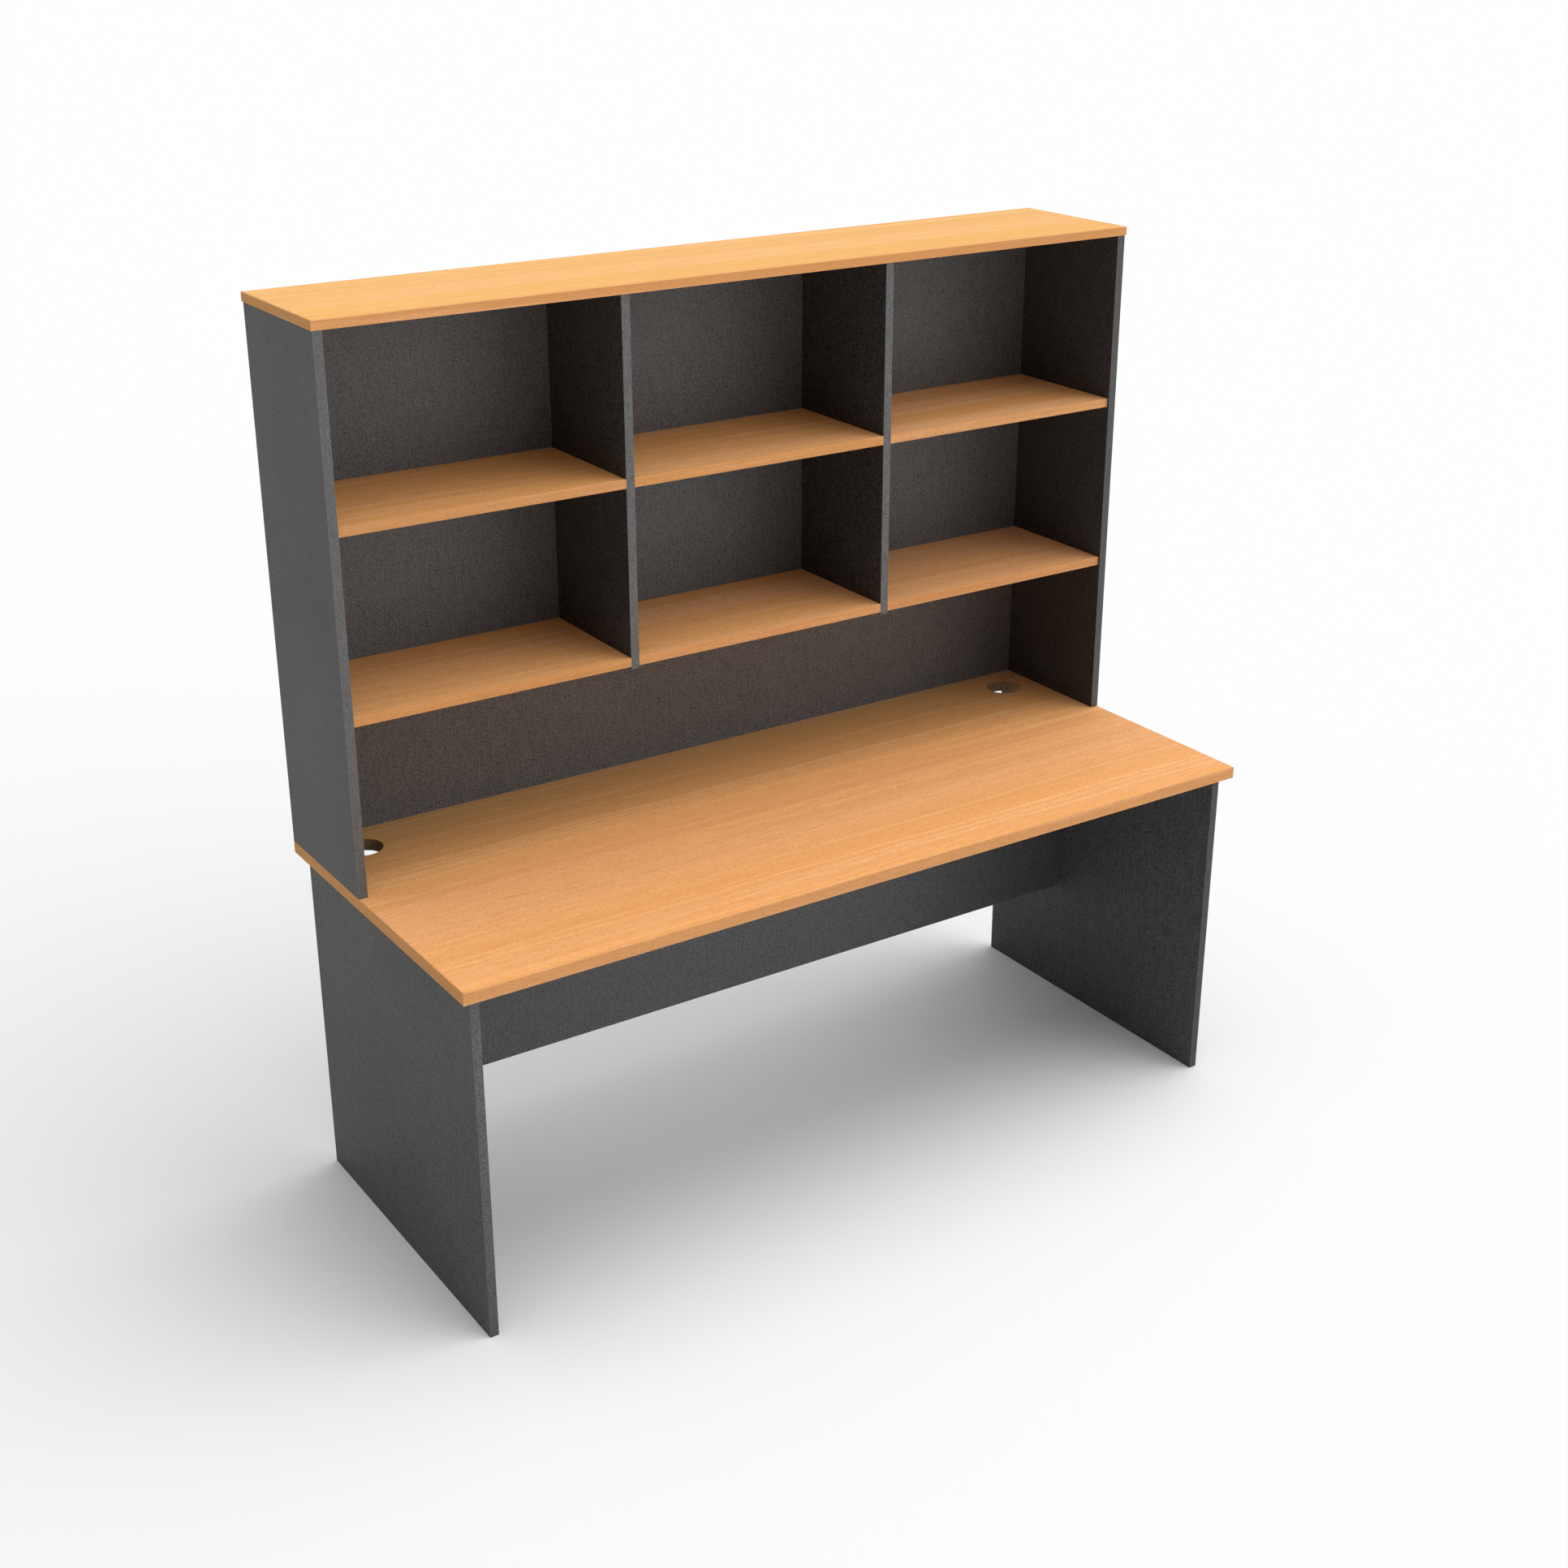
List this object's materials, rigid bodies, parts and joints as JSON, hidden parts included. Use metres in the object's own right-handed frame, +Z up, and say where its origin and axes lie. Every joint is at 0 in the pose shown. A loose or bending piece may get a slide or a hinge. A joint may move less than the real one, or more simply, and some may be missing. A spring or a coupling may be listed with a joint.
{
  "type": "student desk with hutch",
  "caption": "Straight desk on panel legs with a modesty panel and cable holes, carrying an open hutch of shelves and dividers.",
  "frame": {"origin": "on the floor, under the middle of the whole piece", "axes": "+X to the sitter's right along the desk, +Y to the rear, +Z up"},
  "size_m": [1.804, 0.752, 1.8],
  "materials": {
    "beech_board": "satin beech-grain melamine",
    "beech_edging": "satin beech-coloured ABS edging",
    "charcoal_board": "matt charcoal melamine",
    "charcoal_edging": "matt charcoal ABS edging",
    "beech_biscuit": "raw compressed beech",
    "zinc_cam": "die-cast zinc",
    "steel_bolt": "zinc-plated steel"
  },
  "bodies": {
    "root": {"desktop": "beech_board", "desktop_edging": "beech_edging", "hutch_top": "beech_board", "hutch_top_edging": "beech_edging", "lower_shelf_left": "beech_board", "lower_shelf_left_edging": "beech_edging", "lower_shelf_centre": "beech_board", "lower_shelf_centre_edging": "beech_edging", "lower_shelf_right": "beech_board", "lower_shelf_right_edging": "beech_edging", "upper_shelf_left": "beech_board", "upper_shelf_left_edging": "beech_edging", "upper_shelf_centre": "beech_board", "upper_shelf_centre_edging": "beech_edging", "upper_shelf_right": "beech_board", "upper_shelf_right_edging": "beech_edging", "left_leg_panel": "charcoal_board", "left_leg_panel_edging": "charcoal_edging", "right_leg_panel": "charcoal_board", "right_leg_panel_edging": "charcoal_edging", "modesty_panel": "charcoal_board", "modesty_panel_edging": "charcoal_edging", "hutch_left_side": "charcoal_board", "hutch_left_side_edging": "charcoal_edging", "hutch_right_side": "charcoal_board", "hutch_right_side_edging": "charcoal_edging", "hutch_back_panel": "charcoal_board", "left_divider": "charcoal_board", "left_divider_edging": "charcoal_edging", "right_divider": "charcoal_board", "right_divider_edging": "charcoal_edging", "leg_cam_locks": "zinc_cam", "leg_cam_bolts": "steel_bolt", "modesty_biscuits": "beech_biscuit", "carcass_biscuits": "beech_biscuit", "shelf_biscuits": "beech_biscuit", "hutch_locating_biscuits": "beech_biscuit"}
  },
  "joints": []
}
